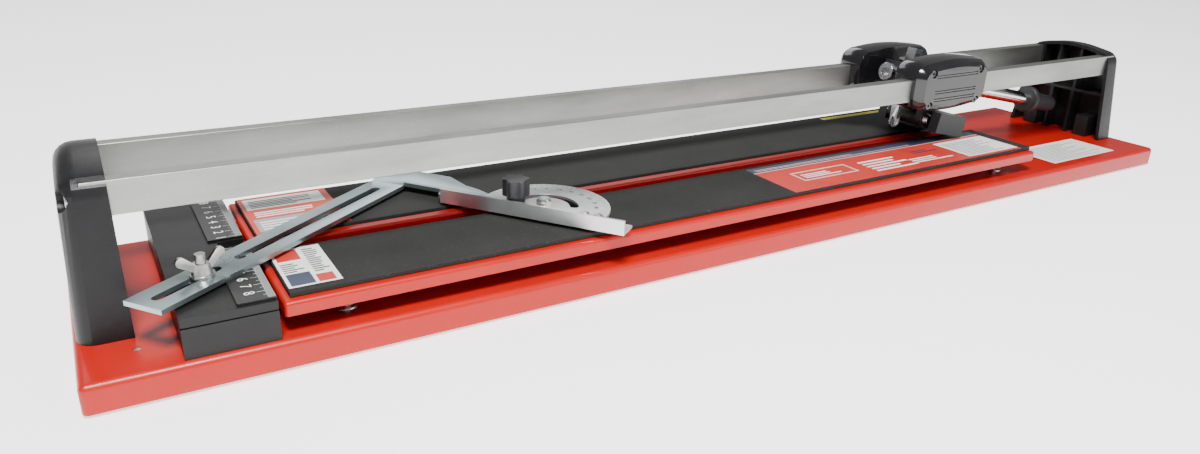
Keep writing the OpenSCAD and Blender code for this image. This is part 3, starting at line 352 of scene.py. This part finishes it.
# ---------------------------------------------------------------- ruler scales and their figures
FIRST_DIVISION, LAST_DIVISION = 9, 89
TEN_LINE, FIVE_LINE, ONE_LINE = 8.5, 6.0, 4.0
LINE_INSET = 0.4
LINE_HALF_WIDTH = 0.13
DARK_LINE = (3.9, 0.5, 0.14)
STRIP = (4.2, 0.3)
STRIP_ENDS = (8.8, 89.6)
RULER_FIGURES = range(1, 9)
FIGURE_INSET = 13
FIGURE_SIZE = 8.5
ruler_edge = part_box("ruler_plates")[1].x / MM
ruler_z = top("ruler_plates")
ticks = []
for s in (-1, 1):
    for i in range(FIRST_DIVISION, LAST_DIVISION + 1):
        y = s * i
        length = TEN_LINE if i % 10 == 0 else (FIVE_LINE if i % 5 == 0 else ONE_LINE)
        ticks.append((ruler_edge - length, ruler_edge - LINE_INSET,
                      y - LINE_HALF_WIDTH, y + LINE_HALF_WIDTH, 1, 1))
        ticks.append((ruler_edge - DARK_LINE[0], ruler_edge - DARK_LINE[1],
                      y - DARK_LINE[2], y + DARK_LINE[2], 2, 2))
    a, b = sorted((s * STRIP_ENDS[0], s * STRIP_ENDS[1]))
    ticks.append((ruler_edge - STRIP[0], ruler_edge - STRIP[1], a, b, 0, 0))
quads("ruler_ticks", "frame", ruler_z, ticks, [GREY, WHITE, INK])

for s in (-1, 1):
    for i in RULER_FIGURES:
        figure(f"figure_{'front' if s < 0 else 'back'}_{i}", str(i), ruler_edge - FIGURE_INSET,
               s * i * 10, ruler_z, FIGURE_SIZE, "frame", WHITE, -math.pi / 2)

# ---------------------------------------------------------------- angle scale of the protractor
SCALE_START = -53
MARK_OFFSET, MARK_STEP, MARK_COUNT = 12, 5, 33
MARK_OUTER = 45.4
LONG_MARK, SHORT_MARK = 6, 3.2
MARK_HALF_WIDTH = 0.14
DISC_FIGURES = ("90", "75", "60", "45", "30", "15", "0", "15", "30", "45")
DISC_FIGURE_OFFSET, DISC_FIGURE_STEP = 22, 15
DISC_FIGURE_RADIUS = 36.5
DISC_FIGURE_SIZE = 4.2
pivot_lo, pivot_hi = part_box("pivot_bolt")
pivot = (pivot_lo + pivot_hi) / 2
disc_z = top("protractor")
me = bpy.data.meshes.new("disc_scale")
vs, fs = [], []
for i in range(MARK_COUNT):
    a = math.radians(SCALE_START + MARK_OFFSET + i * MARK_STEP)
    ca, sa = math.cos(a), math.sin(a)
    inner = MARK_OUTER - (LONG_MARK if i % 3 == 0 else SHORT_MARK)
    n = len(vs)
    for r, w in ((inner, -MARK_HALF_WIDTH), (MARK_OUTER, -MARK_HALF_WIDTH),
                 (MARK_OUTER, MARK_HALF_WIDTH), (inner, MARK_HALF_WIDTH)):
        vs.append((pivot.x + (r * ca - w * sa) * MM, pivot.y + (r * sa + w * ca) * MM,
                   disc_z + PRINT_LIFT * MM))
    fs.append((n, n + 1, n + 2, n + 3))
me.from_pydata(vs, [], fs)
add("disc_scale", me, "fence", [INK])

for i, label in enumerate(DISC_FIGURES):
    a = math.radians(SCALE_START + DISC_FIGURE_OFFSET + i * DISC_FIGURE_STEP)
    figure(f"disc_figure_{i}", label, pivot.x / MM + DISC_FIGURE_RADIUS * math.cos(a),
           pivot.y / MM + DISC_FIGURE_RADIUS * math.sin(a), disc_z, DISC_FIGURE_SIZE,
           "fence", INK, a - math.pi / 2)

# ---------------------------------------------------------------- blue insert of the pivot nut
INSERT_INNER, INSERT_OUTER = 2.9, 3.7
INSERT_BELOW, INSERT_ABOVE = -0.5, 0.12
INSERT_SINK = 0.1
INSERT_STEPS = 40
nut_lo, nut_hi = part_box("pivot_nut")
nut_mid = (nut_lo + nut_hi) / 2
lathe("nut_insert", [(INSERT_INNER, INSERT_BELOW), (INSERT_OUTER, INSERT_BELOW),
                     (INSERT_OUTER, INSERT_ABOVE), (INSERT_INNER, INSERT_ABOVE)],
      Matrix.Translation((nut_mid.x, nut_mid.y, nut_hi.z - INSERT_SINK * MM)),
      "fence", BLUE, INSERT_STEPS)

# ---------------------------------------------------------------- floor, light, camera, in metres
FLOOR_SIZE = 12
FLOOR_GLOW = 1.3
WORLD_STRENGTH = 0.3
# name, place, point aimed at, size, power
LIGHTS = (
    ("key", (-0.55, -0.75, 1.5), (0, 0, 0), (0.5, 0.4), 60),
    ("fill", (1.0, -1.3, 0.9), (0.1, 0, 0.05), (1.2, 0.8), 9),
    ("rim", (0.3, 1.6, 1.2), (0, 0, 0.05), (2.0, 0.6), 12),
)
CAMERA_AT = (-0.47282, -0.55138, 0.26706)
CAMERA_YAW, CAMERA_PITCH, CAMERA_ROLL = 31.834, -21.91, 2.031
SENSOR_WIDTH_MM = 36
LENS_MM = 26.151
CLIP_START = 0.01

bpy.ops.mesh.primitive_plane_add(size=FLOOR_SIZE, location=(0, 0, 0))
floor = bpy.context.object
floor.name = "floor"
floor_paint = material("floor_pale", (0.96, 0.96, 0.96), 0.8, tint=0.005, scale=3)
glow = floor_paint.node_tree.nodes["Principled BSDF"]
glow.inputs["Emission Color"].default_value = (1, 1, 1, 1)
glow.inputs["Emission Strength"].default_value = FLOOR_GLOW
floor.data.materials.append(floor_paint)

world = bpy.data.worlds.new("studio")
bpy.context.scene.world = world
world.use_nodes = True
world.node_tree.nodes["Background"].inputs["Color"].default_value = (1, 1, 1, 1)
world.node_tree.nodes["Background"].inputs["Strength"].default_value = WORLD_STRENGTH

for name, loc, aim, size, power in LIGHTS:
    lamp = bpy.data.lights.new(name, "AREA")
    lamp.shape = "RECTANGLE"
    lamp.size, lamp.size_y = size
    lamp.energy = power
    o = bpy.data.objects.new(name, lamp)
    bpy.context.scene.collection.objects.link(o)
    o.location = loc
    o.rotation_euler = (Vector(aim) - Vector(loc)).to_track_quat("-Z", "Y").to_euler()

yaw, pitch, roll = (math.radians(v) for v in (CAMERA_YAW, CAMERA_PITCH, CAMERA_ROLL))
forward = Vector((math.sin(yaw) * math.cos(pitch), math.cos(yaw) * math.cos(pitch),
                  math.sin(pitch)))
level_right = Vector((math.cos(yaw), -math.sin(yaw), 0))
level_up = level_right.cross(forward)
right = math.cos(roll) * level_right + math.sin(roll) * level_up
up = -math.sin(roll) * level_right + math.cos(roll) * level_up
cam_data = bpy.data.cameras.new("camera")
cam_data.sensor_width = SENSOR_WIDTH_MM
cam_data.lens = LENS_MM
cam_data.clip_start = CLIP_START
cam = bpy.data.objects.new("camera", cam_data)
bpy.context.scene.collection.objects.link(cam)
facing = Matrix((right, up, -forward)).transposed().to_4x4()
cam.matrix_world = Matrix.Translation(CAMERA_AT) @ facing
bpy.context.scene.camera = cam
